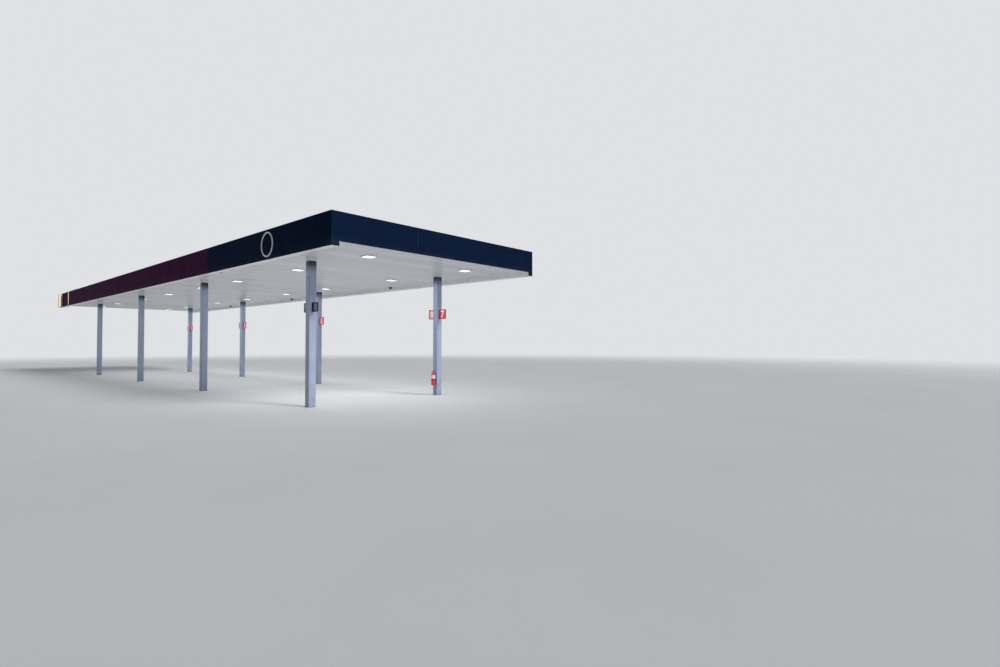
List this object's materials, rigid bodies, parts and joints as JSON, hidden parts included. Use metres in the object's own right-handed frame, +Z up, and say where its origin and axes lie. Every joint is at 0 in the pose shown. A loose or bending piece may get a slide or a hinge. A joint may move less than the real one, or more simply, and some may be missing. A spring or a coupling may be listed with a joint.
{
  "type": "filling station canopy",
  "caption": "Flat steel filling station canopy on two rows of square columns, with interlocking deck pans, joists, gutters, coloured fascia panels and square ceiling lamps.",
  "frame": {"origin": "on the ground, under the centre of the roof's bounding box", "axes": "+X along the roof towards the end with the shorter overhang, +Y from the front long side to the rear long side, +Z up"},
  "size_m": [35.7, 8.65, 5.535],
  "materials": {
    "column_paint": "pale blue-grey gloss enamel on square steel tube",
    "collar_trim": "white satin coated trim plate",
    "deck_coating": "glossy white coil coating on folded steel sheet",
    "gutter_coating": "white satin coating on folded steel sheet",
    "steel_primer": "matt grey shop primer on rolled joists",
    "galvanised_tube": "dull spangled zinc on square tube",
    "fascia_blue": "glossy navy coating on folded composite panel",
    "fascia_maroon": "glossy dark maroon coating on folded composite panel",
    "lamp_body": "white powder coating on cast aluminium",
    "lamp_lens": "bright diffusing lens",
    "camera_shell": "smoked glossy dome",
    "flag_red": "glossy red sign box",
    "flag_black": "glossy black sign box",
    "extinguisher_red": "glossy red enamel on a steel cylinder",
    "bracket_steel": "black powder coating",
    "sign_face": "lit translucent sign box",
    "accent_amber": "lit amber strip",
    "light_strip": "pale translucent strip",
    "ring_white": "white coated flat ring"
  },
  "bodies": {
    "root": {"accent_bar": "accent_amber", "column_collars": "collar_trim", "column_front_1": "column_paint", "column_front_2": "column_paint", "column_front_3": "column_paint", "column_front_4": "column_paint", "column_rear_1": "column_paint", "column_rear_2": "column_paint", "column_rear_3": "column_paint", "column_rear_4": "column_paint", "deck_pans_1": "deck_coating", "deck_pans_2": "deck_coating", "deck_pans_3": "deck_coating", "deck_pans_4": "deck_coating", "deck_pans_5": "deck_coating", "dome_cameras": "camera_shell", "end_sign_box": "sign_face", "extinguisher_hanger": "bracket_steel", "fascia_blue_front": "fascia_blue", "fascia_blue_rear": "fascia_blue", "fascia_brackets_front": "galvanised_tube", "fascia_brackets_rear": "galvanised_tube", "fascia_far_end": "fascia_maroon", "fascia_frame_far_end": "galvanised_tube", "fascia_frame_near_end": "galvanised_tube", "fascia_maroon_front": "fascia_maroon", "fascia_maroon_rear": "fascia_maroon", "fascia_near_end": "fascia_blue", "fascia_rails_front": "galvanised_tube", "fascia_rails_rear": "galvanised_tube", "fascia_ring": "ring_white", "fire_extinguisher": "extinguisher_red", "gutter_front": "gutter_coating", "gutter_rear": "gutter_coating", "lamp_housings": "lamp_body", "lamp_lenses": "lamp_lens", "main_beams": "steel_primer", "number_flags_black": "flag_black", "number_flags_red": "flag_red", "purlins": "steel_primer", "top_light_bar": "light_strip"}
  },
  "joints": []
}
